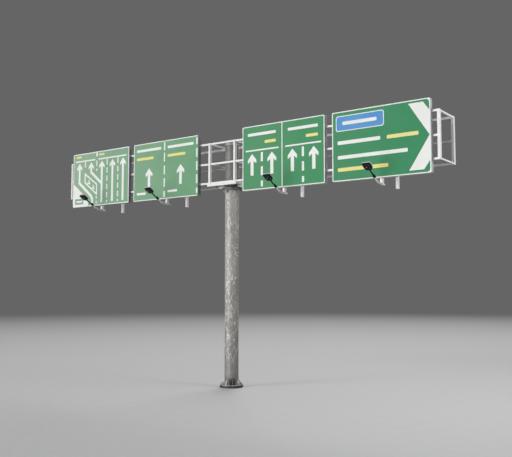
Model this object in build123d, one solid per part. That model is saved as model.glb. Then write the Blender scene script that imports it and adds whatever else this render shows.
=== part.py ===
from build123d import *
import os
from math import cos, radians, sin

# Overhead sign gantry: one tubular column carries a box truss with four sign panels and their lamps.
# Millimetres. +X runs along the truss, the signs face -Y, +Z is up.
# The origin is the centre of the base flange's underside.

# Column and its flanges; the flanges are given by how far they stand out from the column
column_diameter = 457.0
column_wall = 12.5
column_length = 6362.0
base_flange_width = 151.5
base_flange_thickness = 90.0
anchor_count = 8
anchor_edge_distance = 60.0
anchor_hole_diameter = 42.0
base_gusset_height = 155.0
base_gusset_margin = 51.5
base_gusset_land = 25.0
gusset_thickness = 20.0
top_flange_width = 103.0
top_flange_thickness = 42.0
top_gusset_count = 8
top_gusset_height = 105.0
top_gusset_margin = 18.0
top_gusset_land = 18.0
cap_overhang = 8.0
cap_height = 60.0

# Saddle between the column and the truss
saddle_length = 1210.0
saddle_height = 104.0
saddle_plate = 20.0
saddle_skirt = 15.0
saddle_skirt_depth = 73.0
saddle_web = 15.0

# Box truss: three chord levels front and rear, with uprights on the chords' centre lines
upright_row_spacing = 1042.0
truss_height = 1315.0
middle_chord_share = 0.487
chord_size = 60.0
chord_wall = 5.0
upright_width = 80.0
upright_depth = 100.0
upright_wall = 5.0
strut_size = 50.0
strut_wall = 4.0
upright_corner_share = 0.1
column_post_spacing = 1043.0

# Signs
sign_width = 3023.0
sign_height = 2050.0
sign_centre_gap = 1850.0
sign_pair_gap = 252.0
sign_end_margin = 145.0
sign_sheet = 5.0
sign_corner_radius = 40.0
sign_corner_steps = 4
tray_return = 50.0
channel_width = 60.0
channel_depth = 100.0
channel_wall = 5.0
channel_place_shares = (-0.36, -0.12, 0.12, 0.36)
frame_wall = 5.0
frame_flange = 50.0
frame_depth = 88.0
slot_clearance = 15.0

# Lamps
hanger_drop = 185.0
arm_sides = 12
arm_diameter = 60.3
arm_wall = 4.0
arm_height = 17.0
arm_foot_overrun = 90.0
arm_bend_radius = 600.0
arm_rise_angle = 28.0
arm_straight = 200.0
collar_diameter = 78.0
collar_length = 84.0
collar_socket = 52.0
stem_diameter = 42.4
stem_length = 300.0
head_tilt_angle = 30.0
head_width = 232.0
head_length = 258.0
head_depth = 70.0
head_neck_width = 150.0
head_taper = 80.0
head_chamfer = 16.0
head_cover_diameter = 90.0
head_cover_height = 12.0
rim_thickness = 30.0
rim_overhang = 6.0
rim_border = 16.0
rim_recess = 6.0
rim_chamfer = 5.0

# Clearances
fit_clearance = 0.3
cut_overrun = 10.0

# Heights and places that follow from the sizes above
column_radius = column_diameter / 2
column_top = base_flange_thickness + column_length
splice_level = column_top + top_flange_thickness
saddle_bottom = splice_level + top_flange_thickness
saddle_top = saddle_bottom + saddle_height
bottom_chord_level = saddle_top + chord_size / 2
middle_chord_level = bottom_chord_level + truss_height * middle_chord_share
top_chord_level = bottom_chord_level + truss_height
truss_top = top_chord_level + chord_size / 2
chord_levels = {"bottom": bottom_chord_level, "middle": middle_chord_level, "top": top_chord_level}
upright_row = upright_row_spacing / 2
upright_face = upright_row + upright_depth / 2
upright_inner_face = upright_row - upright_depth / 2
chord_face = upright_row + chord_size / 2
inner_sign_place = (sign_centre_gap + sign_width) / 2
outer_sign_place = inner_sign_place + sign_width + sign_pair_gap
sign_places = (-outer_sign_place, -inner_sign_place, inner_sign_place, outer_sign_place)
column_post_place = column_post_spacing / 2
end_post_place = outer_sign_place + (sign_width + upright_width) / 2 + sign_end_margin
post_places = {"end_posts": end_post_place, "column_posts": column_post_place}
sign_face = chord_face + channel_depth + sign_sheet
tray_back = sign_face - tray_return
sign_bottom = middle_chord_level - sign_height / 2
hanger_bottom = sign_bottom - hanger_drop
arm_level = hanger_bottom + arm_height
sides = (-1, 1)


def save(name, *pieces):
    solids = [solid for piece in pieces for solid in piece.solids()]
    export_step(Compound(solids), f"parts/{name}.step")


def square_tube(plane, size, wall, length):
    section = Rectangle(size, size) - Rectangle(size - 2 * wall, size - 2 * wall)
    return extrude(plane * section, amount=length)


def round_tube(diameter, wall, bottom, length):
    ring = Circle(diameter / 2) - Circle(diameter / 2 - wall)
    return extrude(Plane.XY.offset(bottom) * ring, amount=length)


def bar_section(diameter):
    # A few-sided round: its flats stand at the diameter.
    return RegularPolygon(diameter / 2, arm_sides, major_radius=False)


def gusset_ring(count, foot_level, height, reach, land):
    # Each gusset is a plate on edge: full reach at the flange, sloping to nothing at the column.
    direction = 1 if height > 0 else -1
    corner = (column_radius + reach, foot_level)
    knee = (column_radius + reach, foot_level + direction * land)
    toe = (column_radius + gusset_thickness, foot_level + height)
    top = (column_radius - gusset_thickness, foot_level + height)
    root = (column_radius - gusset_thickness, foot_level)
    outline = make_face(Polyline(root, corner, knee, toe, top, close=True))
    plate = extrude(Plane.XZ * outline, amount=gusset_thickness / 2, both=True)
    bite = Cylinder(column_radius, abs(height) + cut_overrun)
    plate -= Pos(0, 0, foot_level + height / 2) * bite
    return [Rot(0, 0, place * 360.0 / count) * plate for place in range(count)]


def base():
    radius = column_radius + base_flange_width
    holes = PolarLocations(radius - anchor_edge_distance, anchor_count, 180.0 / anchor_count)
    outline = Circle(radius) - holes * Circle(anchor_hole_diameter / 2)
    save("base_flange", extrude(outline, amount=base_flange_thickness))
    save("base_gussets", *gusset_ring(anchor_count, base_flange_thickness, base_gusset_height,
                                      base_flange_width - base_gusset_margin, base_gusset_land))


def column():
    # The column is in two lengths; each ends at the splice in a flange that closes it.
    flange = Circle(column_radius + top_flange_width)
    upper_length = truss_top - cap_height - saddle_bottom
    save("column", round_tube(column_diameter, column_wall, base_flange_thickness, column_length))
    for name, level in (("column_top_flange", column_top), ("saddle_flange", splice_level)):
        save(name, extrude(Plane.XY.offset(level) * flange, amount=top_flange_thickness))
    save("top_gussets", *gusset_ring(top_gusset_count, column_top, -top_gusset_height,
                                     top_flange_width - top_gusset_margin, top_gusset_land))
    save("upper_column", round_tube(column_diameter, column_wall, saddle_bottom, upper_length))


def column_cap():
    lid = Circle(column_radius + cap_overhang)
    save("column_cap", extrude(Plane.XY.offset(truss_top) * lid, amount=-cap_height))


def saddle():
    # A plate with skirts all round, and two crossed webs that deepen toward the flange below.
    depth = 2 * upright_face
    plate_level = saddle_top - saddle_plate
    skirt_level = saddle_top - saddle_skirt_depth
    body = extrude(Plane.XY.offset(plate_level) * Rectangle(saddle_length, depth), amount=saddle_plate)
    skirt = Rectangle(saddle_length, depth)
    skirt -= Rectangle(saddle_length - 2 * saddle_skirt, depth - 2 * saddle_skirt)
    body += extrude(Plane.XY.offset(skirt_level) * skirt, amount=saddle_skirt_depth - saddle_plate)
    shoe = column_radius + top_flange_width
    for plane, span in ((Plane.XZ, saddle_length), (Plane.YZ, depth)):
        end = span / 2 - saddle_skirt
        outline = Polyline((-end, plate_level), (-end, skirt_level), (-shoe, saddle_bottom),
                           (shoe, saddle_bottom), (end, skirt_level), (end, plate_level), close=True)
        body += extrude(plane * make_face(outline), amount=saddle_web / 2, both=True)
    hole = Circle(column_radius + fit_clearance)
    body -= extrude(Plane.XY.offset(saddle_bottom) * hole, amount=saddle_height)
    save("saddle", body)


def chords():
    # Each chord runs in lengths that fit between the uprights.
    places = sorted([side * place for side in sides for place in post_places.values()] + list(sign_places))
    for row_name, row in (("front", -upright_row), ("rear", upright_row)):
        for level_name, level in chord_levels.items():
            lengths = [square_tube(Plane.YZ.offset(start + upright_width / 2), chord_size, chord_wall,
                                   end - start - upright_width)
                       for start, end in zip(places, places[1:])]
            save(f"{row_name}_{level_name}_chord", *[Pos(0, row, level) * length for length in lengths])


def upright(bottom):
    # An oblong tube, closed at the top.
    plane = Plane.XY.offset(bottom)
    height = truss_top - bottom
    section = Rectangle(upright_width, upright_depth)
    outline = chamfer(section.vertices(), upright_width * upright_corner_share)
    bore = Rectangle(upright_width - 2 * upright_wall, upright_depth - 2 * upright_wall)
    return extrude(plane * outline, amount=height) - extrude(plane * bore, amount=height - upright_wall)


def posts():
    post = upright(saddle_top)
    for name, place in post_places.items():
        save(name, *[Pos(side * place, row * upright_row, 0) * post for side in sides for row in sides])


def hangers():
    # The uprights at the signs' middles reach below the signs; the front ones straddle the lamp arms.
    hanger = upright(hanger_bottom)
    eye = extrude(Plane.XZ * bar_section(arm_diameter + 2 * fit_clearance), amount=upright_depth, both=True)
    front = Pos(0, -upright_row, 0) * (hanger - Pos(0, 0, arm_level) * eye)
    rear = Pos(0, upright_row, 0) * hanger
    save("lamp_hangers", *[Pos(place, 0, 0) * piece for place in sign_places for piece in (front, rear)])


def struts():
    def strut(place, level):
        plane = Plane.XZ.offset(-upright_inner_face)
        tube = square_tube(plane, strut_size, strut_wall, 2 * upright_inner_face)
        return Pos(place, 0, level) * tube

    framed = [side * place for side in sides for place in post_places.values()] + list(sign_places)
    for level_name in ("top", "bottom"):
        save(f"{level_name}_struts", *[strut(place, chord_levels[level_name]) for place in framed])
    save("middle_struts", *[strut(side * column_post_place, middle_chord_level) for side in sides])


def sign_outline(inset):
    # A rectangle whose round corners are drawn in a few flats.
    radius = sign_corner_radius - inset
    across = sign_width / 2 - sign_corner_radius
    up = sign_height / 2 - sign_corner_radius
    points = []
    for turn, corner in enumerate(((across, up), (-across, up), (-across, -up), (across, -up))):
        for step in range(sign_corner_steps + 1):
            angle = radians(90.0 * (turn + step / sign_corner_steps))
            points.append((corner[0] + radius * cos(angle), corner[1] + radius * sin(angle)))
    return make_face(Polyline(*points, close=True))


def facing_plane(depth):
    # A plane parallel to the sign faces, `depth` in front of the truss centre, looking to the front.
    return Plane(origin=(0, -depth, middle_chord_level), x_dir=(1, 0, 0), z_dir=(0, -1, 0))


def sign_tray():
    tray = extrude(facing_plane(sign_face) * sign_outline(0), amount=-tray_return)
    hollow = extrude(facing_plane(sign_face - sign_sheet) * sign_outline(sign_sheet), amount=-tray_return)
    return tray - hollow


def sign_frame():
    # An edge return behind the tray, slotted for the chords and notched for the hanger, with upright
    # channels that bear on the chords.
    ring = extrude(facing_plane(tray_back) * sign_outline(0), amount=-frame_depth)
    ring -= extrude(facing_plane(tray_back - frame_wall) * sign_outline(frame_wall), amount=-frame_depth)
    border = 2 * (frame_wall + frame_flange)
    window = Rectangle(sign_width - border, sign_height - border)
    ring -= extrude(facing_plane(tray_back) * window, amount=-frame_depth)
    slot_plane = facing_plane(tray_back - frame_wall)
    slot = Rectangle(border + 2 * slot_clearance, chord_size + 2 * slot_clearance)
    for side in sides:
        for level in chord_levels.values():
            place = Pos(side * sign_width / 2, level - middle_chord_level)
            ring -= extrude(slot_plane * place * slot, amount=-frame_depth)
    notch = Rectangle(upright_width + 2 * slot_clearance, border)
    ring -= extrude(slot_plane * Pos(0, -sign_height / 2) * notch, amount=-frame_depth)
    channel = Rectangle(channel_width, sign_height - 2 * sign_sheet - 2 * fit_clearance)
    groove = Rectangle(channel_width - 2 * channel_wall, sign_height)
    for share in channel_place_shares:
        place = Pos(share * sign_width, 0)
        bar = extrude(facing_plane(chord_face) * place * channel, amount=channel_depth)
        bar -= extrude(facing_plane(chord_face + channel_wall) * place * groove, amount=channel_depth)
        ring += bar
    return ring


def signs():
    tray = sign_tray()
    frame = sign_frame()
    for number, place in enumerate(sign_places, start=1):
        save(f"sign_tray_{number}", Pos(place, 0, 0) * tray)
        save(f"sign_frame_{number}", Pos(place, 0, 0) * frame)


def lamp_arm():
    # The arm runs level through its hanger, bends up in one arc and ends in a straight length.
    start = (-upright_inner_face + arm_foot_overrun, arm_level)
    bend_start = (-upright_face, arm_level)
    foot = Line(start, bend_start)
    bend = JernArc(bend_start, (-1, 0), arm_bend_radius, -arm_rise_angle)
    finish = Line(bend @ 1, bend @ 1 + (bend % 1) * arm_straight)
    path = Plane.YZ * Wire(foot.edges() + bend.edges() + finish.edges())
    foot_plane = Plane(origin=path @ 0, x_dir=(1, 0, 0), z_dir=path % 0)
    arm = sweep(foot_plane * bar_section(arm_diameter), path=path)
    bore = extrude(foot_plane * bar_section(arm_diameter - 2 * arm_wall), amount=arm_foot_overrun)
    return arm - bore, path @ 1, path % 1


def lamp_stem(arm_end, heading, head_plane):
    seat = Plane(origin=arm_end, x_dir=(1, 0, 0), z_dir=heading)
    socket_plane = seat.offset(-collar_socket)
    collar = extrude(socket_plane * bar_section(collar_diameter), amount=collar_length)
    collar -= extrude(socket_plane * bar_section(arm_diameter + 2 * fit_clearance), amount=collar_socket)
    stem = extrude(seat * bar_section(stem_diameter), amount=stem_length + stem_diameter)
    trim = Rectangle(head_width, head_depth)
    bottom = Plane(origin=head_plane.origin, x_dir=head_plane.x_dir, z_dir=head_plane.y_dir)
    stem -= extrude(bottom * trim, amount=head_length)
    return collar + stem


def head_outline(growth):
    half = head_width / 2 + growth
    neck = head_neck_width / 2 + growth
    top = head_length + growth
    right = ((neck, -growth), (half, head_taper), (half, top))
    left = ((-half, top), (-half, head_taper), (-neck, -growth))
    return make_face(Polyline(*right, *left, close=True))


def lamp_head(plane):
    body = extrude(plane.offset(-head_depth / 2) * head_outline(0), amount=head_depth)
    back_face = body.faces().sort_by(Axis(plane.origin, plane.z_dir))[0]
    body = chamfer(back_face.edges(), head_chamfer)
    cover_plane = plane.offset(-head_depth / 2) * Pos(0, (head_length + head_taper) / 2)
    return body + extrude(cover_plane * bar_section(head_cover_diameter), amount=-head_cover_height)


def lamp_lens(plane):
    front = plane.offset(head_depth / 2)
    rim = extrude(front * head_outline(rim_overhang), amount=rim_thickness)
    front_face = rim.faces().sort_by(Axis(plane.origin, plane.z_dir))[-1]
    rim = chamfer(front_face.edges(), rim_chamfer)
    glass = front.offset(rim_thickness - rim_recess)
    return rim - extrude(glass * head_outline(-rim_border), amount=rim_thickness)


def lamps():
    arm, arm_end, heading = lamp_arm()
    lens_angle = radians(90.0 - head_tilt_angle)
    seat = arm_end + heading * stem_length
    plane = Plane(origin=seat, x_dir=(-1, 0, 0), z_dir=(0, cos(lens_angle), sin(lens_angle)))
    stem = lamp_stem(arm_end, heading, plane)
    head = lamp_head(plane)
    lens = lamp_lens(plane)
    for number, place in enumerate(sign_places, start=1):
        for name, piece in (("arm", arm), ("stem", stem), ("head", head), ("lens", lens)):
            save(f"lamp_{name}_{number}", Pos(place, 0, 0) * piece)


os.makedirs("parts", exist_ok=True)
base()
column()
column_cap()
saddle()
chords()
posts()
hangers()
struts()
signs()
lamps()
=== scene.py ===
import math

import bmesh
import bpy
from mathutils import Matrix, Vector


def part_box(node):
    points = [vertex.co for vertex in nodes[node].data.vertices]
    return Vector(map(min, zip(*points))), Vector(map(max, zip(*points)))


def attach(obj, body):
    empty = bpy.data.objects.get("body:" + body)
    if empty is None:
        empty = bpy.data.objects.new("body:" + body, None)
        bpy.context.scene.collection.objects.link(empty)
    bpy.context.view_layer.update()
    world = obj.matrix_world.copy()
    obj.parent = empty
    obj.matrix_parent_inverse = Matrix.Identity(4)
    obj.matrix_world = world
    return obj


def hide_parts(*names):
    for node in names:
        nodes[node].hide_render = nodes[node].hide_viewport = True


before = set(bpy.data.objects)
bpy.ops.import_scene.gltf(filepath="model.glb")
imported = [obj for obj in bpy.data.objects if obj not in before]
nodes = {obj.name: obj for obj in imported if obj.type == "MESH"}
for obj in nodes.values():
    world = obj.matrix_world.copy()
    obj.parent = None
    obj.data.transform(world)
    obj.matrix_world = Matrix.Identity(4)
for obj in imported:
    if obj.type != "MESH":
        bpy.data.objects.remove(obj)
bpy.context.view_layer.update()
scene = bpy.context.scene

# Places that the looks share with the solids, in metres
ANCHOR_RADIUS = 0.320
SPLICE_RADIUS = 0.280
BOLT_COUNT = 8
CHANNEL_SHARES = (-0.36, -0.12, 0.12, 0.36)
ARM_FOOT, ARM_BEND, ARM_LEVEL = -0.381, -0.571, 6.1174
ARM_RADIUS, ARM_BORE = 0.03015, 0.02615
BEND_RADIUS, RISE, ARM_RUN = 0.600, math.radians(28.0), 0.200
STEM_RADIUS, STEM_RUN = 0.0212, 0.300
COLLAR_RADIUS, COLLAR_BACK, COLLAR_FRONT = 0.039, 0.052, 0.032
HEAD_TILT = math.radians(30.0)
HEAD_HALF, HEAD_NECK, HEAD_TAPER, HEAD_RUN = 0.116, 0.075, 0.080, 0.258
HEAD_BACK, COVER_LIFT, COVER_PLACE = 0.035, 0.012, 0.169
GLASS_LEVEL, GLASS_INSET = 0.059, 0.017
LEVELS = ("bottom", "middle", "top")
SIGNS = range(1, 5)
ACROSS = Vector((1, 0, 0))

# Small parts that only the looks have, in metres. A turned profile is (radius, height) pairs, a
# hexagon is (corner radius, low, high) and a thread is (radius, pitch, low, high).
ANCHOR_WASHER = ((0.033, 0.0), (0.033, 0.0045), (0.031, 0.006))
ANCHOR_NUT = (0.0305, 0.006, 0.034)
ANCHOR_THREAD = (0.0175, 0.004, 0.030, 0.074)
SPLICE_LOW_WASHER = ((0.022, -0.004), (0.023, -0.003), (0.023, 0.0))
SPLICE_BOLT_HEAD = (0.0205, -0.020, -0.004)
SPLICE_HIGH_WASHER = ((0.023, 0.0), (0.023, 0.003), (0.022, 0.004))
SPLICE_NUT = (0.0205, 0.004, 0.024)
SPLICE_THREAD = (0.012, 0.003, 0.022, 0.036)
FOOT_BEAD, TOP_BEAD, CHORD_BEAD, STRUT_BEAD = 0.009, 0.008, 0.007, 0.006
CLAMP_HALF, CLAMP_RISE, CLAMP_CORNER, CLAMP_PLATE = 0.021, 0.058, 0.009, 0.006
CLAMP_BOLT_RISE = 0.043
CLAMP_WASHER = ((0.012, 0.0), (0.012, 0.002), (0.011, 0.0025))
CLAMP_NUT = (0.0105, 0.0025, 0.0105)
CLAMP_SHANK = ((0.006, -0.066), (0.006, 0.0))
CLAMP_BOLT_END = ((0.0055, 0.008), (0.0055, 0.017), (0.0045, 0.018))
COLLAR_EDGE, COLLAR_NECK = 0.003, 0.008
COLLAR_SCREW_PLACES, COLLAR_BOSS_SINK = (-0.030, 0.008), 0.004
COLLAR_BOSS = ((0.012, 0.0), (0.012, 0.008), (0.010, 0.010))
COLLAR_SCREW = (0.0085, 0.010, 0.018)
STEM_OVERLAP, BORE_DEPTH = 0.012, 0.09
GLASS_CROWN = ((0.0, 0.0), (0.0, 0.003), (0.012, 0.0052), (0.04, 0.006))
COVER_BOLT = ((0.017, 0.0), (0.017, 0.004), (0.012, 0.009), (0.005, 0.011))
HEAD_SCREW = ((0.008, 0.0), (0.008, 0.003), (0.005, 0.006))
HEAD_SCREW_SIDE, HEAD_SCREW_PLACES = 0.082, (0.098, 0.222)
SHEET_LIFT, SHEET_CORNER, SHEET_INSET, RIM_CORNER = 0.0009, 0.036, 0.002, 0.02
CORNER_STEPS, BORDER_STEPS = 4, 6
STROKE_MITRE, OUTLINE_MITRE, LEGEND_ROUND, ARROW_LAYER = 0.4, 0.35, 0.55, 1.4
SMOOTH_ANGLE = math.radians(38.0)

# The photograph's camera and the studio
CAMERA_PLACE = (14.34, -18.631, 3.213)
CAMERA_TURN = (math.radians(94.7899), 0.0, math.radians(35.6335))
CAMERA_LENS, CAMERA_SENSOR, CAMERA_REACH = 49.917, 36.0, 1000.0
BACKDROP = (0.13, 0.13, 0.13, 1.0)
FLOOR_HALF, FLOOR_CELLS, FADE_START, FADE_END = 160.0, 8, 6.0, 75.0
WORLD_TINT, WORLD_STRENGTH = (0.97, 0.985, 1.0, 1.0), 0.2


def srgb(red, green, blue):
    """A written 0-255 colour as the linear RGBA that shaders take."""
    def linear(value):
        share = value / 255
        return share / 12.92 if share <= 0.04045 else ((share + 0.055) / 1.055) ** 2.4
    return (linear(red), linear(green), linear(blue), 1.0)


# Darker tone towards the column's bottom
COLUMN_LOW_TONE = srgb(108, 106, 102)
# Painted shade at the column's foot, just above the base flange
FOOT_SHADE = srgb(52, 50, 46)
# Tone of a darker low strip on one side of the foot
STRIP_TONE = srgb(44, 42, 39)
# Painted shade on zinc and on paint where faces look down
ZINC_UNDERSIDE_SHADE = srgb(72, 70, 67)
PAINT_UNDERSIDE_SHADE = srgb(80, 78, 75)
# Where the darker low strip lies: its heading, half width and top
STRIP_HEADING, STRIP_HALF, STRIP_TOP = math.radians(40.0), 0.125, 0.36
FILM_CELLS, FILM_SPECULAR, FILM_GLOSS = 260.0, 0.1, (0.36, 0.52)


class Look:
    """A node material; every texture reads the piece's own coordinates in metres."""

    def __init__(self, name):
        self.material = bpy.data.materials.new(name)
        self.material.use_nodes = True
        self.tree = self.material.node_tree
        self.shader = self.tree.nodes["Principled BSDF"]
        self.place = self.tree.nodes.new("ShaderNodeTexCoord").outputs["Object"]

    def put(self, socket, value):
        """Links a socket to another, or gives it a fixed value."""
        if isinstance(value, bpy.types.NodeSocket):
            self.tree.links.new(value, socket)
        else:
            socket.default_value = value

    def node(self, kind, inputs, **settings):
        """A new shader node with its settings and inputs."""
        made = self.tree.nodes.new("ShaderNode" + kind)
        for key, value in settings.items():
            setattr(made, key, value)
        for key, value in inputs.items():
            self.put(made.inputs[key], value)
        return made

    def noise(self, scale, detail=4.0, rough=0.55, stretch=(1, 1, 1), twist=0.0):
        """Soft noise, finer along an axis whose stretch is over 1."""
        place = self.node("Mapping", {"Vector": self.place, "Scale": stretch}).outputs["Vector"]
        inputs = {"Vector": place, "Scale": scale, "Detail": detail, "Roughness": rough}
        inputs["Distortion"] = twist
        return self.node("TexNoise", inputs).outputs["Fac"]

    def cells(self, scale):
        """A random colour in each of many small cells."""
        return self.node("TexVoronoi", {"Vector": self.place, "Scale": scale}).outputs["Color"]

    def grey(self, colour):
        """A colour as one value."""
        return self.node("RGBToBW", {"Color": colour}).outputs["Val"]

    def axis(self, name):
        """A point's own X, Y or Z."""
        return self.node("SeparateXYZ", {"Vector": self.place}).outputs[name]

    def facing(self, name):
        """How far a surface looks along X, Y or Z."""
        normal = self.node("NewGeometry", {}).outputs["True Normal"]
        return self.node("SeparateXYZ", {"Vector": normal}).outputs[name]

    def underside(self, amount):
        """How far a surface looks down, for the painted shade under things."""
        return self.band(self.facing("Z"), -0.8, -0.4, amount, 0.0)

    def rear(self):
        """How far a surface looks to the back."""
        return self.band(self.facing("Y"), 0.4, 0.8)

    def heading_strip(self, heading, half, top):
        """A low strip of the foot that looks to a heading, counted from the front towards +X."""
        x, y = self.axis("X"), self.axis("Y")
        sine, cosine = math.sin(heading), math.cos(heading)
        across = self.math("ADD", self.math("MULTIPLY", x, cosine), self.math("MULTIPLY", y, sine))
        ahead = self.math(
            "SUBTRACT", self.math("MULTIPLY", x, sine), self.math("MULTIPLY", y, cosine))
        strip = self.band(self.math("ABSOLUTE", across, 0.0), half * 0.75, half, 1.0, 0.0)
        strip = self.math("MULTIPLY", strip, self.band(ahead, 0.0, 0.1))
        return self.math("MULTIPLY", strip, self.band(self.axis("Z"), top * 0.6, top, 1.0, 0.0))

    def band(self, value, low, high, start=0.0, end=1.0):
        """Goes smoothly from start to end while a value goes from low to high."""
        inputs = {"Value": value, "From Min": low, "From Max": high, "To Min": start, "To Max": end}
        return self.node("MapRange", inputs, interpolation_type="SMOOTHSTEP").outputs["Result"]

    def math(self, kind, first, second):
        """Arithmetic on two values."""
        return self.node("Math", {0: first, 1: second}, operation=kind).outputs[0]

    def blend(self, share, first, second):
        """A colour between two others."""
        return self.node("Mix", {0: share, 6: first, 7: second}, data_type="RGBA").outputs[2]

    def finish(self, colour, rough, height=None, strength=0.2, depth=0.002, metal=0.0):
        """Sends the colour, roughness and bump to the shader."""
        self.put(self.shader.inputs["Base Color"], colour)
        self.put(self.shader.inputs["Roughness"], rough)
        self.shader.inputs["Metallic"].default_value = metal
        if height is not None:
            inputs = {"Height": height, "Strength": strength, "Distance": depth}
            self.put(self.shader.inputs["Normal"], self.node("Bump", inputs).outputs["Normal"])
        return self.material


def galvanised(name, dark, mid, pale, flecks=0.65, foot=0.0, underside_shade=0.5, metal=0.25, low_strip=0.0):
    """Weathered hot-dip zinc: cloudy patches, spangle, faint runs, pale flecks; optionally darker
    towards the bottom with painted shade just above the base flange, and a darker low strip on one
    side of the foot; painted shade on faces that look down.
    """
    look = Look(name)
    clouds = look.band(look.noise(2.6, 5.0, 0.6, (1, 1, 0.55), 0.6), 0.36, 0.66)
    colour = look.blend(clouds, dark, mid)
    spangle = look.grey(look.cells(60.0))
    colour = look.blend(look.band(spangle, 0.2, 0.9, 0.0, 0.22), colour, pale)
    runs = look.band(look.noise(5.0, 3.0, 0.5, (3.2, 3.2, 0.16)), 0.45, 0.72, 0.0, 0.35)
    colour = look.blend(runs, colour, dark)
    # Darker towards the bottom
    if foot:
        colour = look.blend(look.band(look.axis("Z"), 0.0, 5.5, 0.6, 0.0), colour, COLUMN_LOW_TONE)
    ragged = look.band(look.noise(7.0, 4.0, 0.6), 0.3, 0.7, 0.55, 1.0)
    specks = look.band(look.noise(6.2, 6.0, 0.68, (1, 1, 0.45), 3.0), 0.55, 0.59, 0.0, flecks)
    specks = look.math("MULTIPLY", specks, ragged)
    if foot:
        specks = look.math("MULTIPLY", specks, look.band(look.axis("Z"), 0.2, 1.4, 0.1, 1.0))
    colour = look.blend(specks, colour, pale)
    # Painted shade at the foot, just above the base flange, with a ragged top edge
    if foot:
        sway = look.band(look.noise(9.0, 5.0, 0.65), 0.3, 0.7, -0.14, 0.14)
        shade_height = look.math("ADD", look.axis("Z"), sway)
        colour = look.blend(look.band(shade_height, 0.1, 0.42, foot, 0.0), colour, FOOT_SHADE)
    # A darker low strip on the side of the foot that looks to a heading of 40 degrees
    if low_strip:
        strip_share = look.math("MULTIPLY", look.heading_strip(STRIP_HEADING, STRIP_HALF, STRIP_TOP), low_strip)
        colour = look.blend(strip_share, colour, STRIP_TONE)
    # Painted shade on faces that look down
    colour = look.blend(look.underside(underside_shade), colour, ZINC_UNDERSIDE_SHADE)
    rough = look.band(look.noise(24.0, 4.0), 0.3, 0.7, 0.46, 0.66)
    height = look.math("ADD", look.noise(90.0, 3.0), specks)
    return look.finish(colour, rough, height, strength=0.25, depth=0.0015, metal=metal)


def base_plate(name):
    """The base flange: zinc above, its edge dark below a ragged line near the rim."""
    look = Look(name)
    clouds = look.band(look.noise(9.0, 5.0, 0.6), 0.35, 0.65)
    zinc = look.blend(clouds, srgb(146, 144, 140), srgb(196, 195, 191))
    sway = look.band(look.noise(26.0, 5.0, 0.65), 0.3, 0.7, -0.012, 0.012)
    ragged = look.math("ADD", look.axis("Z"), sway)
    dark_edge = look.blend(look.band(look.noise(18.0, 5.0), 0.4, 0.7), srgb(34, 33, 32), srgb(66, 64, 60))
    # The flange's edge is dark below a ragged line, its top pale zinc
    colour = look.blend(look.band(ragged, 0.066, 0.082), dark_edge, zinc)
    rough = look.band(look.noise(40.0, 4.0), 0.3, 0.7, 0.5, 0.72)
    return look.finish(colour, rough, look.noise(70.0, 4.0, 0.6), strength=0.3, metal=0.1)


def painted(name, clean, grime, chip, amount=0.35, underside_shade=0.72):
    """Gloss paint on steel tube: soft grime, rain streaks, small dull scuffs, and painted shade on
    faces that look down.
    """
    look = Look(name)
    streaks = look.band(look.noise(6.0, 4.0, 0.6, (3.0, 3.0, 0.35)), 0.44, 0.75, 0.0, amount)
    colour = look.blend(streaks, clean, grime)
    mottling = look.band(look.noise(9.0, 5.0, 0.6), 0.4, 0.7, 0.0, amount * 0.6)
    colour = look.blend(mottling, colour, grime)
    scuffs = look.band(look.noise(42.0, 4.0, 0.65, twist=1.2), 0.66, 0.72, 0.0, 0.55)
    colour = look.blend(scuffs, colour, chip)
    # Painted shade on faces that look down
    colour = look.blend(look.underside(underside_shade), colour, PAINT_UNDERSIDE_SHADE)
    rough = look.band(look.noise(14.0, 4.0), 0.3, 0.7, 0.36, 0.58)
    return look.finish(colour, rough, look.noise(55.0, 3.0, 0.6), strength=0.12, depth=0.001)


def rained(look, tone, paler):
    """Faint rain marks down a sheet."""
    rain = look.band(look.noise(7.0, 3.0, 0.55, (2.4, 1, 0.2)), 0.5, 0.8, 0.0, 0.22)
    return look.blend(rain, tone, paler)


def film_finish(look, tone):
    """The soft gloss and the fine cell grid of reflective film."""
    grid = look.grey(look.cells(FILM_CELLS))
    gloss = look.band(look.noise(12.0, 3.0), 0.3, 0.7, *FILM_GLOSS)
    look.shader.inputs["Specular IOR Level"].default_value = FILM_SPECULAR
    return look.finish(tone, gloss, grid, strength=0.05, depth=0.0006)


def sheeting(name, colour, paler):
    """Sign sheeting: faded clouds and faint rain marks."""
    look = Look(name)
    clouds = look.band(look.noise(1.1, 3.0, 0.5), 0.34, 0.68, 0.0, 0.55)
    tone = look.blend(clouds, colour, paler)
    return film_finish(look, rained(look, tone, paler))


def sign_tray_look(name, colour, paler, edge, tray):
    """Sheeting that grows paler towards the tray's -X end, with bare metal at its edge and back."""
    look = Look(name)
    low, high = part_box(tray)
    sway = look.band(look.noise(1.1, 3.0, 0.5), 0.3, 0.7, -0.7, 0.7)
    across = look.math("ADD", look.axis("X"), sway)
    tone = look.blend(look.band(across, low.x, high.x), paler, colour)
    tone = rained(look, tone, paler)
    # The edge tone comes per sign; its differences between signs are painted light and shade
    metal = look.blend(look.rear(), edge, srgb(190, 193, 197))
    bloom = look.band(look.noise(16.0, 4.0), 0.3, 0.7, 0.0, 0.5)
    metal = look.blend(bloom, metal, srgb(170, 173, 177))
    behind = look.band(look.axis("Y"), low.y + 0.0015, low.y + 0.0025)
    return film_finish(look, look.blend(behind, tone, metal))


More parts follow.
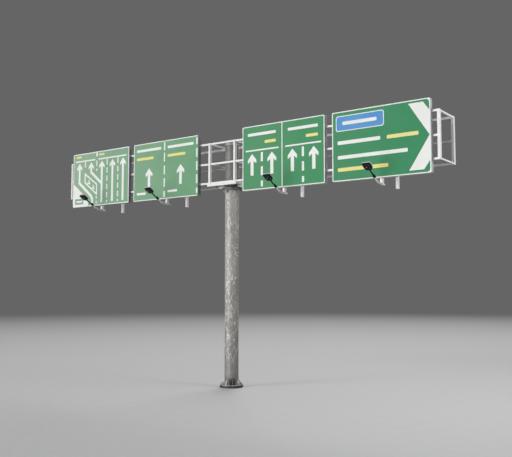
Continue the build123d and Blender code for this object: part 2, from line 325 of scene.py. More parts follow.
def aluminium(name, dark, pale):
    """Mill-finish aluminium gone dull: long drawn lines and oxide bloom."""
    look = Look(name)
    drawn = look.noise(30.0, 3.0, 0.5, (6.0, 6.0, 0.2))
    bloom = look.band(look.noise(5.0, 5.0, 0.6), 0.35, 0.7)
    colour = look.blend(bloom, dark, pale)
    colour = look.blend(look.band(drawn, 0.45, 0.7, 0.0, 0.3), colour, dark)
    rough = look.band(bloom, 0.0, 1.0, 0.42, 0.6)
    return look.finish(colour, rough, drawn, strength=0.1, depth=0.0008, metal=0.3)


def black_coat(name):
    """Black powder coat: fine orange peel, dust and a little fading."""
    look = Look(name)
    dust = look.band(look.noise(11.0, 5.0, 0.65), 0.5, 0.78, 0.0, 0.3)
    colour = look.blend(dust, srgb(14, 17, 24), srgb(46, 49, 58))
    rough = look.band(look.noise(30.0, 3.0), 0.3, 0.7, 0.34, 0.5)
    look.shader.inputs["Specular IOR Level"].default_value = 0.18
    return look.finish(colour, rough, look.noise(260.0, 2.0, 0.5), strength=0.15, depth=0.0006)


def zinc_bolt(name):
    """Bright-zinc fasteners with duller patches."""
    look = Look(name)
    dull = look.band(look.noise(70.0, 4.0), 0.35, 0.7)
    colour = look.blend(dull, srgb(178, 178, 172), srgb(118, 116, 110))
    rough = look.band(dull, 0.0, 1.0, 0.34, 0.56)
    grain = look.noise(320.0, 2.0)
    return look.finish(colour, rough, grain, strength=0.12, depth=0.0005, metal=0.6)


def ribbed_glass(name):
    """Pressed lamp glass: fine ribs across, a little dust."""
    look = Look(name)
    dust = look.band(look.noise(25.0, 4.0), 0.45, 0.8, 0.0, 0.5)
    colour = look.blend(dust, srgb(216, 224, 226), srgb(176, 176, 168))
    place = look.node("Mapping", {"Vector": look.place, "Scale": (1, 0, 0)}).outputs["Vector"]
    ribs = look.node("TexWave", {"Vector": place, "Scale": 26.0}).outputs["Fac"]
    look.shader.inputs["Transmission Weight"].default_value = 0.35
    return look.finish(colour, look.band(dust, 0.0, 0.5, 0.08, 0.3), ribs, strength=0.4)


def studio_floor(name):
    """A plain pale floor that runs out into the backdrop far behind the part."""
    look = Look(name)
    tone = look.band(look.noise(3.0, 4.0, 0.5), 0.3, 0.7)
    pale = look.blend(tone, srgb(209, 209, 208), srgb(212, 212, 211))
    paths = look.node("LightPath", {}).outputs
    seen = look.math("MAXIMUM", paths["Is Camera Ray"], paths["Is Glossy Ray"])
    seen = look.math("MAXIMUM", seen, paths["Is Transmission Ray"])
    reach = look.node("VectorMath", {0: look.place}, operation="LENGTH").outputs["Value"]
    far = look.band(reach, FADE_START, FADE_END)
    shown = look.blend(far, pale, (0.0, 0.0, 0.0, 1.0))
    colour = look.blend(seen, srgb(128, 127, 124), shown)
    glow = look.blend(far, (0.07, 0.07, 0.07, 1.0), BACKDROP)
    look.put(look.shader.inputs["Emission Color"], glow)
    look.put(look.shader.inputs["Emission Strength"], seen)
    look.put(look.shader.inputs["Specular IOR Level"], look.band(far, 0.0, 1.0, 0.5, 0.0))
    return look.finish(colour, look.band(tone, 0.0, 1.0, 0.82, 0.86))


# Each sign's sheeting and a paler tone of it, paler from sign 4 to sign 1, and the metal of its
# turned edge
GREENS = {
    1: (srgb(134, 171, 142), srgb(150, 179, 154)),
    2: (srgb(113, 162, 125), srgb(131, 170, 138)),
    3: (srgb(70, 145, 100), srgb(84, 149, 107)),
    4: (srgb(58, 139, 96), srgb(70, 142, 100)),
}
# One metal per sign: darker on sign 2 as painted shade, lighter on signs 3 and 4 as painted light
EDGES = {
    1: srgb(164, 167, 172),
    2: srgb(104, 109, 119),
    3: srgb(196, 198, 202),
    4: srgb(202, 204, 208),
}
# Galvanised steel: dark, mid and pale zinc
ZINCS = {
    "column": (srgb(147, 145, 141), srgb(174, 172, 168), srgb(240, 239, 236)),
    # upper: darker zinc, painted shade on the upper column inside the truss
    "upper": (srgb(108, 106, 103), srgb(132, 130, 127), srgb(170, 169, 166)),
    "fitting": (srgb(158, 156, 152), srgb(186, 184, 180), srgb(222, 221, 217)),
    # gusset: lighter zinc, painted light on the base gussets
    "gusset": (srgb(222, 220, 217), srgb(236, 235, 232), srgb(246, 246, 244)),
    # splice: darker zinc, painted shade under the saddle
    "splice": (srgb(88, 86, 83), srgb(112, 110, 106), srgb(172, 171, 167)),
    # bracket: lighter zinc, painted light on the lamp arms and clamp plates
    "bracket": (srgb(222, 222, 220), srgb(236, 236, 234), srgb(246, 246, 244)),
}
# Painted tube: clean paint, grime and scuffs
PAINTS = {
    "truss": (srgb(238, 238, 236), srgb(192, 191, 186), srgb(150, 148, 142)),
    # high_truss: lighter paint with less underside shade, painted light on the top struts and rear
    # top chord
    "high_truss": (srgb(248, 248, 246), srgb(214, 213, 208), srgb(150, 148, 142)),
    # hanger: lighter paint, painted light on the lamp hangers
    "hanger": (srgb(250, 250, 248), srgb(232, 231, 227), srgb(170, 168, 162)),
}
LOOKS = {
    "column": galvanised("column_zinc", *ZINCS["column"], flecks=0.9, foot=0.6, low_strip=0.8),
    "upper": galvanised("upper_zinc", *ZINCS["upper"], flecks=0.4),
    "fitting": galvanised("fitting_zinc", *ZINCS["fitting"], flecks=0.6),
    "gusset": galvanised(
        "gusset_zinc", *ZINCS["gusset"], flecks=0.5, underside_shade=0.3, metal=0.1, low_strip=0.8),
    "splice": galvanised("splice_zinc", *ZINCS["splice"], flecks=0.5),
    "base": base_plate("base_plate"),
    "bracket": galvanised("bracket_zinc", *ZINCS["bracket"], flecks=0.4, underside_shade=0.0, metal=0.05),
    "truss": painted("truss_paint", *PAINTS["truss"]),
    "high_truss": painted("high_truss_paint", *PAINTS["high_truss"], amount=0.3, underside_shade=0.12),
    "hanger": painted("hanger_paint", *PAINTS["hanger"], amount=0.25),
    # Frames of signs 1 and 2 darker as painted shade, of signs 3 and 4 lighter as painted light
    "frame_dark": aluminium("frame_metal_dark", srgb(118, 119, 128), srgb(150, 151, 158)),
    "frame_pale": aluminium("frame_metal_pale", srgb(176, 177, 182), srgb(204, 205, 208)),
    "black": black_coat("lamp_black"),
    "rim": aluminium("lamp_rim_metal", srgb(214, 215, 217), srgb(234, 235, 236)),
    "white": sheeting("sheeting_white", srgb(240, 241, 238), srgb(226, 229, 224)),
    "yellow": sheeting("sheeting_yellow", srgb(238, 226, 140), srgb(230, 222, 158)),
    "blue": sheeting("sheeting_blue", srgb(84, 148, 208), srgb(104, 160, 210)),
    "bolt": zinc_bolt("bolt_zinc"),
    "glass": ribbed_glass("lamp_glass"),
}
for number, (colour, paler) in GREENS.items():
    LOOKS[f"green_{number}"] = sheeting(f"sheeting_green_{number}", colour, paler)
    LOOKS[f"tray_{number}"] = sign_tray_look(
        f"tray_{number}", colour, paler, EDGES[number], f"sign_tray_{number}")


def node_look(name):
    """The look of a CAD node, by how its name starts."""
    if name.startswith("sign_tray"):
        return LOOKS["tray_" + name[-1]]
    families = (
        (("sign_frame_1", "sign_frame_2"), "frame_dark"),
        (("sign_frame",), "frame_pale"),
        (("lamp_arm",), "bracket"),
        (("lamp_hangers",), "hanger"),
        (("top_struts", "rear_top"), "high_truss"),
        (("lamp_stem", "lamp_head"), "black"),
        (("lamp_lens",), "rim"),
        (("upper_column",), "upper"),
        (("base_flange",), "base"),
        (("base_gussets",), "gusset"),
        (("column_cap", "top_gussets"), "fitting"),
        (("column_top", "saddle_flange"), "splice"),
    )
    for starts, look in families:
        if name.startswith(starts):
            return LOOKS[look]
    return LOOKS["column"] if name == "column" else LOOKS["truss"]


for name, node in nodes.items():
    node.data.materials.clear()
    node.data.materials.append(node_look(name))


def make_piece(name, shape, look, smooth=False):
    """Turns a bmesh into a piece that rides on the part."""
    bmesh.ops.recalc_face_normals(shape, faces=shape.faces)
    mesh = bpy.data.meshes.new(name)
    shape.to_mesh(mesh)
    shape.free()
    if smooth:
        mesh.polygons.foreach_set("use_smooth", [True] * len(mesh.polygons))
        mesh.set_sharp_from_angle(angle=SMOOTH_ANGLE)
    mesh.materials.append(LOOKS[look])
    piece = bpy.data.objects.new(name, mesh)
    scene.collection.objects.link(piece)
    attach(piece, "root")
    return piece


def prism(shape, loop, depth):
    """A flat outline given thickness along a vector."""
    near = [shape.verts.new(point) for point in loop]
    far = [shape.verts.new(point + depth) for point in loop]
    shape.faces.new(near)
    shape.faces.new(far[::-1])
    for index in range(len(loop)):
        shape.faces.new((near[index - 1], near[index], far[index], far[index - 1]))


def skin(shape, rings, caps=True):
    """Faces between successive closed rings of one count, with ends capped or joined in a loop."""
    made = [[shape.verts.new(point) for point in ring] for ring in rings]
    pairs = list(zip(made, made[1:]))
    if not caps:
        pairs.append((made[-1], made[0]))
    for lower, upper in pairs:
        for index in range(len(lower)):
            shape.faces.new((lower[index - 1], lower[index], upper[index], upper[index - 1]))
    if caps:
        shape.faces.new(made[0][::-1])
        shape.faces.new(made[-1])


def turned(shape, seat, profile, steps=24):
    """A profile of (radius, height) turned about the seat's own axis."""
    angles = [2 * math.pi * step / steps for step in range(steps)]
    rings = []
    for radius, height in profile:
        points = [(radius * math.cos(angle), radius * math.sin(angle), height) for angle in angles]
        rings.append([seat @ Vector(point) for point in points])
    skin(shape, rings)


def hexagon(shape, seat, corner, low, high, chamfer=0.12, waist=0.9):
    """A chamfered hexagon between two heights."""
    lift, narrow = chamfer * (high - low), corner * waist
    profile = ((narrow, low), (corner, low + lift), (corner, high - lift), (narrow, high))
    turned(shape, seat, profile, steps=6)


def thread(radius, pitch, low, high, root=0.9, tip=0.88):
    """The zigzag profile of a thread, with a chamfered end."""
    turns = int((high - low) / pitch)
    profile = []
    for turn in range(turns):
        profile += [(radius, low + turn * pitch), (radius * root, low + (turn + 0.5) * pitch)]
    return profile + [(radius * tip, high)]


def bolt_seats(radius, level):
    """The places of a ring of bolts, midway between the gussets."""
    for index in range(BOLT_COUNT):
        angle = 2 * math.pi * (index + 0.5) / BOLT_COUNT
        place = Vector((radius * math.cos(angle), radius * math.sin(angle), level))
        yield Matrix.Translation(place) @ Matrix.Rotation(angle, 4, "Z")


def anchor_nuts():
    """Washers, nuts and threaded ends on the base flange."""
    shape = bmesh.new()
    for seat in bolt_seats(ANCHOR_RADIUS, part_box("base_flange")[1].z):
        turned(shape, seat, ANCHOR_WASHER)
        hexagon(shape, seat, *ANCHOR_NUT)
        turned(shape, seat, thread(*ANCHOR_THREAD), steps=18)
    make_piece("anchor_nuts", shape, "bolt", smooth=True)


def splice_bolts():
    """Bolt heads below the splice flanges, nuts and threaded ends above them."""
    shape = bmesh.new()
    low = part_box("column_top_flange")[0].z
    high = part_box("saddle_flange")[1].z
    for seat in bolt_seats(SPLICE_RADIUS, low):
        turned(shape, seat, SPLICE_LOW_WASHER)
        hexagon(shape, seat, *SPLICE_BOLT_HEAD)
    for seat in bolt_seats(SPLICE_RADIUS, high):
        turned(shape, seat, SPLICE_HIGH_WASHER)
        hexagon(shape, seat, *SPLICE_NUT)
        turned(shape, seat, thread(*SPLICE_THREAD), steps=16)
    make_piece("splice_bolts", shape, "bolt", smooth=True)


def ring_bead(shape, radius, level, size):
    """A rippled weld bead round the column."""
    steps, sides = 160, 6
    rings = []
    for step in range(steps):
        angle = 2 * math.pi * step / steps
        swell = size * (1.0 + 0.12 * math.sin(angle * 53) + 0.06 * math.sin(angle * 17))
        ring = []
        for side in range(sides):
            turn = 2 * math.pi * side / sides
            reach = radius + swell * math.cos(turn)
            height = level + swell * math.sin(turn)
            ring.append(Vector((reach * math.cos(angle), reach * math.sin(angle), height)))
        rings.append(ring)
    skin(shape, rings, caps=False)


def column_welds():
    """Beads where the column meets its two flanges."""
    shape = bmesh.new()
    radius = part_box("column")[1].x
    ring_bead(shape, radius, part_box("base_flange")[1].z, FOOT_BEAD)
    ring_bead(shape, radius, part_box("column_top_flange")[0].z, TOP_BEAD)
    make_piece("column_welds", shape, "column", smooth=True)


def square_bead(shape, centre, along, half, size):
    """A weld bead round the end of a square tube that meets a flat face."""
    across = Vector((0, 0, 1))
    side = across.cross(along)
    corners = [(1, 1), (-1, 1), (-1, -1), (1, -1)]
    parts, overlap, sink = 7, 0.002, 0.001
    profile = ((half + size, 0.0), (half + size * 0.75, size * 0.7), (half - overlap, size))
    rings = []
    for reach, step in profile:
        ring = []
        for index, (s, t) in enumerate(corners):
            next_s, next_t = corners[(index + 1) % 4]
            for part in range(parts):
                share = part / parts
                ripple = 1.0 + 0.012 * math.sin(part * 2.4 + index + centre.x * 9)
                spot = side * ((s + (next_s - s) * share) * reach * ripple)
                spot += across * ((t + (next_t - t) * share) * reach * ripple)
                ring.append(centre + spot + along * step)
        rings.append(ring)
    rings.append([point - along * (size + sink) for point in rings[-1]])
    skin(shape, rings, caps=False)


def truss_welds():
    """Beads where chords and struts meet the uprights."""
    shape = bmesh.new()
    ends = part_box("end_posts")
    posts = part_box("column_posts")
    half = (ends[1].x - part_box("front_top_chord")[1].x) / 2
    slack = 0.01
    trays = [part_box(f"sign_tray_{number}") for number in SIGNS]
    uprights = [(low.x + high.x) / 2 for low, high in trays]
    for low, high in (ends, posts):
        uprights += [low.x + half, high.x - half]
    uprights.sort()
    for side in ("front", "rear"):
        for level in LEVELS:
            low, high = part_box(f"{side}_{level}_chord")
            middle = (low + high) / 2
            size = (high.z - low.z) / 2
            for x in uprights:
                for way in (-1, 1):
                    place = Vector((x + way * half, middle.y, middle.z))
                    if low.x - slack < x + way * half < high.x + slack:
                        square_bead(shape, place, Vector((way, 0, 0)), size, CHORD_BEAD)
    for level, places in (("top", uprights), ("middle", uprights[3:5]), ("bottom", uprights)):
        low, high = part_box(f"{level}_struts")
        middle = (low + high) / 2
        size = (high.z - low.z) / 2
        for x in places:
            for way, y in ((-1, high.y), (1, low.y)):
                place = Vector((x, y, middle.z))
                square_bead(shape, place, Vector((0, way, 0)), size, STRUT_BEAD)
    make_piece("truss_welds", shape, "truss", smooth=True)


def sign_clamps(number):
    """Straps behind the front chords, each with two bolts into a sign's upright channel."""
    low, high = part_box(f"sign_tray_{number}")
    middle = (low.x + high.x) / 2
    plates = bmesh.new()
    bolts = bmesh.new()
    for share in CHANNEL_SHARES:
        x = middle + share * (high.x - low.x)
        for level in LEVELS:
            chord_low, chord_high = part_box(f"front_{level}_chord")
            z = (chord_low.z + chord_high.z) / 2
            back = chord_high.y
            outline = []
            for sx, sz in ((-1, -1), (1, -1), (1, 1), (-1, 1)):
                corner_x, corner_z = x + sx * CLAMP_HALF, z + sz * CLAMP_RISE
                outline += corner_points(corner_x, corner_z, CLAMP_CORNER, sx, sz)
            outline = [Vector((px, back, pz)) for px, pz in outline]
            prism(plates, outline, Vector((0, CLAMP_PLATE, 0)))
            for up in (-CLAMP_BOLT_RISE, CLAMP_BOLT_RISE):
                place = Matrix.Translation((x, back + CLAMP_PLATE, z + up))
                seat = place @ Matrix.Rotation(-math.pi / 2, 4, "X")
                turned(bolts, seat, CLAMP_WASHER, steps=16)
                hexagon(bolts, seat, *CLAMP_NUT)
                turned(bolts, seat, CLAMP_SHANK, steps=12)
                turned(bolts, seat, CLAMP_BOLT_END, steps=12)
    make_piece(f"sign_clamp_plates_{number}", plates, "bracket")
    make_piece(f"sign_clamp_bolts_{number}", bolts, "bolt", smooth=True)


def corner_points(x, z, radius, sx, sz, steps=CORNER_STEPS):
    """Points of a rounded corner, counter-clockwise, whose square corner is at x, z.

    The signs sx and sz say which corner it is: 1, 1 is the one at +X and +Z.
    """
    start = {(-1, -1): 180, (1, -1): 270, (1, 1): 0, (-1, 1): 90}[(sx, sz)]
    points = []
    for step in range(steps + 1):
        angle = math.radians(start + 90 * step / steps)
        across = x - sx * radius + radius * math.cos(angle)
        points.append((across, z - sz * radius + radius * math.sin(angle)))
    return points


def rounded(x0, z0, x1, z1, left, right, steps=CORNER_STEPS):
    """A rectangle whose left and right corners have their own radius, counter-clockwise."""
    loop = corner_points(x0, z0, left, -1, -1, steps) + corner_points(x1, z0, right, 1, -1, steps)
    loop += corner_points(x1, z1, right, 1, 1, steps) + corner_points(x0, z1, left, -1, 1, steps)
    return loop


class Face:
    """The front of one sign: outlines are shares across and down, and lie on the sheet."""

    def __init__(self, number):
        low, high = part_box(f"sign_tray_{number}")
        self.number = number
        self.left, self.top, self.y = low.x, high.z, low.y
        self.width, self.height = high.x - low.x, high.z - low.z
        self.sheets = {}

    def at(self, u, v):
        """The point at a share across and a share down."""
        return Vector((self.left + u * self.width, self.y, self.top - v * self.height))

    def sheet(self, look):
        """The mesh that gathers all markings of one look."""
        if look not in self.sheets:
            self.sheets[look] = bmesh.new()
        return self.sheets[look]

    def lay(self, look, loop, layer=1):
        """One flat marking; a higher layer covers a lower one."""
        prism(self.sheet(look), loop, Vector((0, -SHEET_LIFT * layer, 0)))

    def lay_flat(self, look, loop, layer=1):
        """One flat marking whose outline is given as x, z pairs."""
        self.lay(look, [Vector((x, self.y, z)) for x, z in loop], layer)

    def area(self, look, corners, layer=1):
        """A marking with straight sides."""
        self.lay(look, [self.at(u, v) for u, v in corners], layer)

    def bar(self, look, u0, v0, u1, v1, radius=0.0, layer=1):
        """A rectangle with square or rounded corners."""
        a, b = self.at(u0, v1), self.at(u1, v0)
        if radius == 0.0:
            loop = [(a.x, a.z), (b.x, a.z), (b.x, b.z), (a.x, b.z)]
        else:
            loop = rounded(a.x, a.z, b.x, b.z, radius, radius)
        self.lay_flat(look, loop, layer)

    def legend(self, look, u0, v0, u1, v1, layer=1):
        """A plain rounded bar where the real sign has words."""
        half = (v1 - v0) * self.height / 2
        self.bar(look, u0, v0, u1, v1, half * LEGEND_ROUND, layer)

    def dashes(self, look, u, spans, width=0.055):
        """A dashed line down the sign."""
        half = width / 2 / self.width
        for v0, v1 in spans:
            self.bar(look, u - half, v0, u + half, v1)

    def border(self, look, width, right=RIM_CORNER):
        """A rim round the sheet, whose inner corners may be rounder on the right."""
        rings = []
        outside = (SHEET_INSET, SHEET_CORNER, SHEET_CORNER)
        inside = (SHEET_INSET + width, RIM_CORNER, right)
        for gap, near, far in (outside, inside):
            x0, x1 = self.left + gap, self.left + self.width - gap
            z0, z1 = self.top - self.height + gap, self.top - gap
            loop = rounded(x0, z0, x1, z1, near, far, BORDER_STEPS)
            rings.append([Vector((x, self.y, z)) for x, z in loop])
        self.rim(look, *rings)

    def open_border(self, look, width):
        """A rim along the top, left and bottom, which stops short of the right corners."""
        loops = []
        outer, inner = (SHEET_INSET, SHEET_CORNER), (SHEET_INSET + width, SHEET_CORNER - width)
        for gap, radius in (outer, inner):
            x0, x1 = self.left + gap, self.left + self.width - SHEET_CORNER
            z0, z1 = self.top - self.height + gap, self.top - gap
            upper = corner_points(x0, z1, radius, -1, 1, BORDER_STEPS)
            lower = corner_points(x0, z0, radius, -1, -1, BORDER_STEPS)
            loops.append([(x1, z1), *upper, *lower, (x1, z0)])
        self.lay_flat(look, loops[0] + loops[1][::-1])

    def rim(self, look, outside, inside):
        """A raised band between two rings."""
        lift = Vector((0, -SHEET_LIFT, 0))
        raised = [[point + lift for point in ring] for ring in (outside, inside)]
        skin(self.sheet(look), [outside, *raised, inside], caps=False)

    def path(self, points):
        """Shares across and down as flat x, z vectors."""
        return [Vector((self.at(u, v).x, self.at(u, v).z)) for u, v in points]

    def stroke(self, look, points, width, layer=1):
        """A line of even width with mitred bends."""
        path = self.path(points)
        runs = [(second - first).normalized() for first, second in zip(path, path[1:])]
        left, right = [], []
        for point, before, after in zip(path, runs[:1] + runs, runs + runs[-1:]):
            tangent = (before + after).normalized()
            normal = Vector((-tangent.y, tangent.x))
            reach = width / 2 / max(STROKE_MITRE, normal.dot(Vector((-before.y, before.x))))
            left.append(point + normal * reach)
            right.append(point - normal * reach)
        self.lay_flat(look, left + right[::-1], layer)

    def outline(self, look, corners, width):
        """A closed line of even width round an area."""
        path = self.path(corners)
        rings = []
        for way in (-0.5, 0.5):
            ring = []
            for index, point in enumerate(path):
                before = (point - path[index - 1]).normalized()
                after = (path[(index + 1) % len(path)] - point).normalized()
                tangent = (before + after).normalized()
                normal = Vector((-tangent.y, tangent.x))
                reach = way * width / max(OUTLINE_MITRE, normal.dot(Vector((-before.y, before.x))))
                x, z = point.x + normal.x * reach, point.y + normal.y * reach
                ring.append(Vector((x, self.y, z)))
            rings.append(ring)
        self.rim(look, *rings)

    def arrow(self, look, u, tip, foot, half=0.168, stem=0.118):
        """An up arrow with a barbed head, drawn as one outline."""
        peak = self.at(u, tip)
        drop = peak.z - self.at(u, foot).z
        # The right side of the head, out and down from the tip, as shares of its half width
        head = ((0.06, 0.025), (0.97, 1.10), (1.0, 1.22), (0.97, 1.80), (stem / 2 / half, 1.34))
        side = [(0.0, 0.0)] + [(x * half, d * half) for x, d in head] + [(stem / 2, drop)]
        loop = [(peak.x + x, peak.z - d) for x, d in side]
        loop += [(peak.x - x, peak.z - d) for x, d in side[:0:-1]]
        self.lay_flat(look, loop, ARROW_LAYER)

    def done(self):
        """Makes one piece of each look's markings."""
        for look, shape in self.sheets.items():
            colour = look.split("_")[0]
            make_piece(f"sign_{self.number}_{colour}_markings", shape, look)


def sign_one():
    """Five lanes: two leave to the left past a hatched island."""
    face = Face(1)
    face.border("white", 0.034)
    for u0, u1 in ((0.04, 0.405), (0.465, 0.955)):
        face.bar("white", u0, 0.132, u1, 0.158)
    face.bar("white", 0.423, 0.025, 0.447, 0.09)
    face.legend("yellow", 0.055, 0.045, 0.15, 0.08)
    face.legend("yellow", 0.475, 0.045, 0.57, 0.08)
    for u, foot in ((0.118, 0.30), (0.333, 0.30), (0.527, 0.945), (0.715, 0.945), (0.897, 0.945)):
        face.arrow("white", u, 0.185, foot, 0.148, 0.102)
    lane = ((0.118, 0.29), (0.118, 0.55), (0.338, 0.81), (0.36, 0.87), (0.36, 0.945))
    face.stroke("white", lane, 0.102)
    face.stroke("white", ((0.333, 0.29), (0.333, 0.37), (0.515, 0.585)), 0.102)
    lanes = ((0.165, 0.27), (0.32, 0.42), (0.47, 0.57), (0.62, 0.72), (0.77, 0.87), (0.915, 0.955))
    face.dashes("white", 0.225, lanes[:1])
    face.dashes("white", 0.435, ((0.165, 0.27), (0.315, 0.36), (0.825, 0.87), (0.915, 0.955)))
    face.dashes("white", 0.62, lanes)
    face.dashes("white", 0.81, lanes)
    face.outline("white", ((0.222, 0.39), (0.437, 0.605), (0.437, 0.785), (0.222, 0.55)), 0.055)
    for u, v in ((0.311, 0.578), (0.391, 0.676)):
        mark = ((u - 0.021, v - 0.068), (u, v), (u - 0.047, v - 0.012))
        face.stroke("white", mark, 0.05, layer=1.7)
    verge = ((0.008, 0.56), (0.05, 0.60), (0.175, 0.745), (0.285, 0.875))
    face.area("white", (*verge, (0.285, 0.988), (0.008, 0.988)), layer=1.5)
    face.bar("green_1", 0.04, 0.845, 0.2, 0.95, 0.03, layer=2)
    face.legend("white", 0.065, 0.882, 0.175, 0.914, layer=3)
    face.done()


def sign_two():
    """Two lanes with a dashed divider and a dashed right edge."""
    face = Face(2)
    face.open_border("white", 0.030)
    spans = ((0.21, 0.36), (0.43, 0.58), (0.645, 0.795))
    face.dashes("white", 0.492, ((0.035, 0.17), *spans, (0.865, 0.965)), 0.058)
    face.dashes("white", 0.979, ((0.035, 0.15), *spans, (0.865, 0.955)), 0.06)
    for u in (0.0, 0.49):
        face.legend("white", u + 0.05, 0.1, u + 0.44, 0.145)
        face.legend("yellow", u + 0.05, 0.245, u + 0.32, 0.29)
        face.arrow("white", u + 0.25, 0.445, 0.775)
        face.legend("white", u + 0.055, 0.855, u + 0.2, 0.895)
    face.done()


def sign_three():
    """Four lanes in two pairs."""
    face = Face(3)
    face.border("white", 0.030)
    face.bar("white", 0.495, 0.016, 0.506, 0.984)
    for u in (0.0, 0.5):
        face.legend("white", u + 0.07, 0.115, u + 0.425, 0.16)
        face.legend("yellow", u + 0.285, 0.248, u + 0.425, 0.293)
        face.bar("white", u + 0.04, 0.375, u + 0.46, 0.398)
        face.arrow("white", u + 0.125, 0.44, 0.775)
        face.arrow("white", u + 0.375, 0.44, 0.775)
        face.dashes("white", u + 0.25, ((0.425, 0.57), (0.645, 0.785), (0.865, 0.955)), 0.078)
    face.done()


def sign_four():
    """Exit to the right: a broad chevron, a blue panel and legend lines."""
    face = Face(4)
    face.border("white", 0.030, right=0.09)
    upper = ((0.79, 0.043), (0.932, 0.043), (0.994, 0.173))
    lower = ((0.994, 0.822), (0.932, 0.948), (0.79, 0.948))
    face.area("white", (*upper, *lower, (0.989, 0.495)), layer=2)
    face.bar("white", 0.043, 0.063, 0.549, 0.287, 0.07)
    face.bar("blue", 0.051, 0.075, 0.541, 0.275, 0.055, layer=2)
    face.legend("white", 0.115, 0.15, 0.475, 0.2, layer=3)
    face.legend("white", 0.06, 0.425, 0.51, 0.477)
    face.legend("yellow", 0.575, 0.425, 0.885, 0.477)
    face.legend("white", 0.06, 0.635, 0.78, 0.687)
    face.legend("yellow", 0.06, 0.81, 0.585, 0.862)
    face.done()


def rising(angle):
    """The forward and the upward direction of something that rises to the front."""
    sine, cosine = math.sin(angle), math.cos(angle)
    return Vector((0, -cosine, sine)), Vector((0, sine, cosine))


def bend_point(x, angle):
    """A point on the middle line of an arm's bend."""
    y = ARM_BEND - BEND_RADIUS * math.sin(angle)
    z = ARM_LEVEL + BEND_RADIUS * (1 - math.cos(angle))
    return Vector((x, y, z))


def arm_end(x):
    """Where a lamp's arm ends and its stem starts."""
    return bend_point(x, RISE) + rising(RISE)[0] * ARM_RUN


def aligned(origin, up):
    """A seat with its own Z along a direction."""
    side = up.cross(ACROSS).normalized()
    turn = Matrix((ACROSS, side, up)).transposed().to_4x4()
    return Matrix.Translation(origin) @ turn


def lamp_arm(number, x):
    """The bent tube, round and open at its foot."""
    bends, sides = 14, 28
    turns = [2 * math.pi * side / sides for side in range(sides)]

    def ring(point, angle, radius):
        up = rising(angle)[1]
        return [point + ACROSS * radius * math.cos(t) + up * radius * math.sin(t) for t in turns]

    foot = Vector((x, ARM_FOOT, ARM_LEVEL))
    path = [(foot, 0.0), (Vector((x, ARM_BEND, ARM_LEVEL)), 0.0)]
    angles = [RISE * step / bends for step in range(1, bends + 1)]
    path += [(bend_point(x, angle), angle) for angle in angles]
    path.append((arm_end(x), RISE))
    rings = [ring(foot + Vector((0, -BORE_DEPTH, 0)), 0.0, ARM_BORE), ring(foot, 0.0, ARM_BORE)]
    rings += [ring(point, angle, ARM_RADIUS) for point, angle in path]
    shape = bmesh.new()
    skin(shape, rings)
    piece = make_piece(f"lamp_tube_{number}", shape, "bracket", smooth=True)
    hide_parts(f"lamp_arm_{number}")


def lamp_stem(number, x):
    """Round stem in a clamped collar with two screws."""
    end = arm_end(x)
    run, boss = rising(RISE)
    profile = (
        (ARM_RADIUS, -COLLAR_BACK),
        (COLLAR_RADIUS - COLLAR_EDGE, -COLLAR_BACK),
        (COLLAR_RADIUS, -COLLAR_BACK + COLLAR_EDGE),
        (COLLAR_RADIUS, COLLAR_FRONT - COLLAR_NECK),
        (COLLAR_RADIUS - COLLAR_NECK, COLLAR_FRONT),
        (STEM_RADIUS, COLLAR_FRONT),
        (STEM_RADIUS, STEM_RUN + STEM_OVERLAP),
    )
    shape = bmesh.new()
    turned(shape, aligned(end, run), profile, steps=28)
    for along in COLLAR_SCREW_PLACES:
        place = aligned(end + run * along + boss * (COLLAR_RADIUS - COLLAR_BOSS_SINK), boss)
        turned(shape, place, COLLAR_BOSS, steps=16)
        hexagon(shape, place, *COLLAR_SCREW)
    piece = make_piece(f"lamp_collar_{number}", shape, "black", smooth=True)
    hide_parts(f"lamp_stem_{number}")


def lamp_fittings(number, x):
    """The lens glass, the cover's centre bolt and the head's corner screws."""
    seat = arm_end(x) + rising(RISE)[0] * STEM_RUN
    run, out = rising(HEAD_TILT)

    def spot(side, along, level):
        return seat + ACROSS * side + run * along + out * level

    glass = bmesh.new()
    half, neck = HEAD_HALF - GLASS_INSET, HEAD_NECK - GLASS_INSET
    rings = []
    for inset, level in GLASS_CROWN:
        near, far = GLASS_INSET + inset, HEAD_RUN - GLASS_INSET - inset
        bend = HEAD_TAPER + inset * 0.3
        corners = ((neck - inset, near), (half - inset, bend), (half - inset, far),
                   (inset - half, far), (inset - half, bend), (inset - neck, near))
        rings.append([spot(side, along, GLASS_LEVEL + level) for side, along in corners])
    skin(glass, rings)
    make_piece(f"lamp_glass_{number}", glass, "glass")

    bolts = bmesh.new()
    cover = aligned(spot(0, COVER_PLACE, -HEAD_BACK - COVER_LIFT), -out)
    turned(bolts, cover, COVER_BOLT, steps=20)
    for side in (-HEAD_SCREW_SIDE, HEAD_SCREW_SIDE):
        for along in HEAD_SCREW_PLACES:
            turned(bolts, aligned(spot(side, along, -HEAD_BACK), -out), HEAD_SCREW, steps=14)
    make_piece(f"lamp_screws_{number}", bolts, "bolt", smooth=True)


def lamps():
    """The round tubes and small parts of each lamp."""
    for number in SIGNS:
        low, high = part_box(f"lamp_head_{number}")
        x = (low.x + high.x) / 2
        lamp_arm(number, x)
        lamp_stem(number, x)
        lamp_fittings(number, x)


def floor():
    """The floor under the part, which throws no shadow on it."""
    shape = bmesh.new()
    bmesh.ops.create_grid(
        shape, x_segments=FLOOR_CELLS, y_segments=FLOOR_CELLS, size=FLOOR_HALF)
    mesh = bpy.data.meshes.new("studio_floor")
    shape.to_mesh(mesh)
    shape.free()
    mesh.materials.append(studio_floor("floor_pale"))
    plane = bpy.data.objects.new("studio_floor", mesh)
    plane.visible_shadow = False
    scene.collection.objects.link(plane)


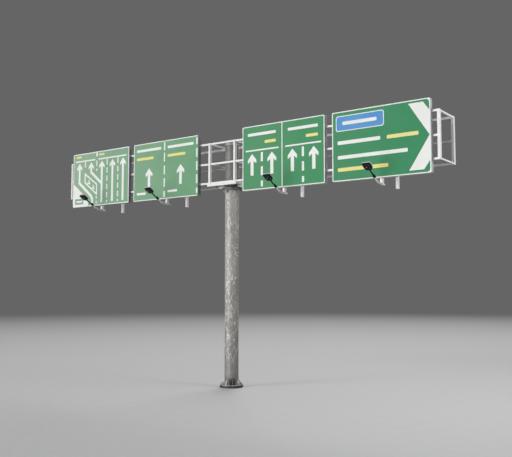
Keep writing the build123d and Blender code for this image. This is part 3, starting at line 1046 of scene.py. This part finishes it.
def sun(name, heading, height, strength, spread):
    """Far-off light: its heading from the front towards +X, height and spread, in degrees."""
    light = bpy.data.lights.new(name, "SUN")
    light.energy = strength
    light.angle = math.radians(spread)
    lamp = bpy.data.objects.new(name, light)
    lamp.rotation_euler = (math.radians(90.0 - height), 0.0, math.radians(heading))
    scene.collection.objects.link(lamp)


def softbox(name, place, target, size, power):
    """A square lamp near the part, which falls off with distance."""
    light = bpy.data.lights.new(name, "AREA")
    light.energy = power
    light.size = size
    lamp = bpy.data.objects.new(name, light)
    lamp.location = place
    lamp.rotation_euler = (Vector(target) - Vector(place)).to_track_quat("-Z", "Y").to_euler()
    lamp.visible_camera = False
    scene.collection.objects.link(lamp)


def studio():
    """Soft light from the left, the ground, the right and behind, and a plain grey backdrop."""
    sun("key_light", heading=-28.0, height=20.0, strength=0.88, spread=22.0)
    sun("ground_light", heading=-16.0, height=-10.0, strength=1.96, spread=36.0)
    sun("fill_light", heading=104.0, height=20.0, strength=0.52, spread=25.0)
    sun("side_light", heading=84.0, height=-8.0, strength=0.27, spread=30.0)
    sun("back_light", heading=200.0, height=28.0, strength=1.3, spread=45.0)
    softbox("right_softbox", place=(13.0, 0.5, 7.8), target=(7.4, 0.0, 7.2), size=2.5, power=170.0)
    world = bpy.data.worlds.new("surround")
    world.use_nodes = True
    tree = world.node_tree
    tree.nodes.clear()
    paths = tree.nodes.new("ShaderNodeLightPath")
    seen = tree.nodes.new("ShaderNodeMath")
    seen.operation = "MAXIMUM"
    bent = tree.nodes.new("ShaderNodeMath")
    bent.operation = "MAXIMUM"
    tree.links.new(paths.outputs["Is Camera Ray"], seen.inputs[0])
    tree.links.new(paths.outputs["Is Glossy Ray"], bent.inputs[0])
    tree.links.new(paths.outputs["Is Transmission Ray"], bent.inputs[1])
    tree.links.new(bent.outputs[0], seen.inputs[1])
    light = tree.nodes.new("ShaderNodeBackground")
    light.inputs["Color"].default_value = WORLD_TINT
    light.inputs["Strength"].default_value = WORLD_STRENGTH
    shown = tree.nodes.new("ShaderNodeBackground")
    shown.inputs["Color"].default_value = BACKDROP
    mix = tree.nodes.new("ShaderNodeMixShader")
    output = tree.nodes.new("ShaderNodeOutputWorld")
    tree.links.new(seen.outputs[0], mix.inputs[0])
    tree.links.new(light.outputs[0], mix.inputs[1])
    tree.links.new(shown.outputs[0], mix.inputs[2])
    tree.links.new(mix.outputs[0], output.inputs["Surface"])
    scene.world = world


def photograph_camera():
    """The camera at the photograph's viewing angle."""
    data = bpy.data.cameras.new("camera")
    data.sensor_fit = "HORIZONTAL"
    data.sensor_width = CAMERA_SENSOR
    data.lens = CAMERA_LENS
    data.clip_end = CAMERA_REACH
    camera = bpy.data.objects.new("camera", data)
    camera.location = CAMERA_PLACE
    camera.rotation_euler = CAMERA_TURN
    scene.collection.objects.link(camera)
    scene.camera = camera


photograph_camera()
studio()
floor()
anchor_nuts()
splice_bolts()
column_welds()
truss_welds()
for sign_number in SIGNS:
    sign_clamps(sign_number)
sign_one()
sign_two()
sign_three()
sign_four()
lamps()

scene.view_settings.view_transform = "Standard"
bpy.context.view_layer.update()
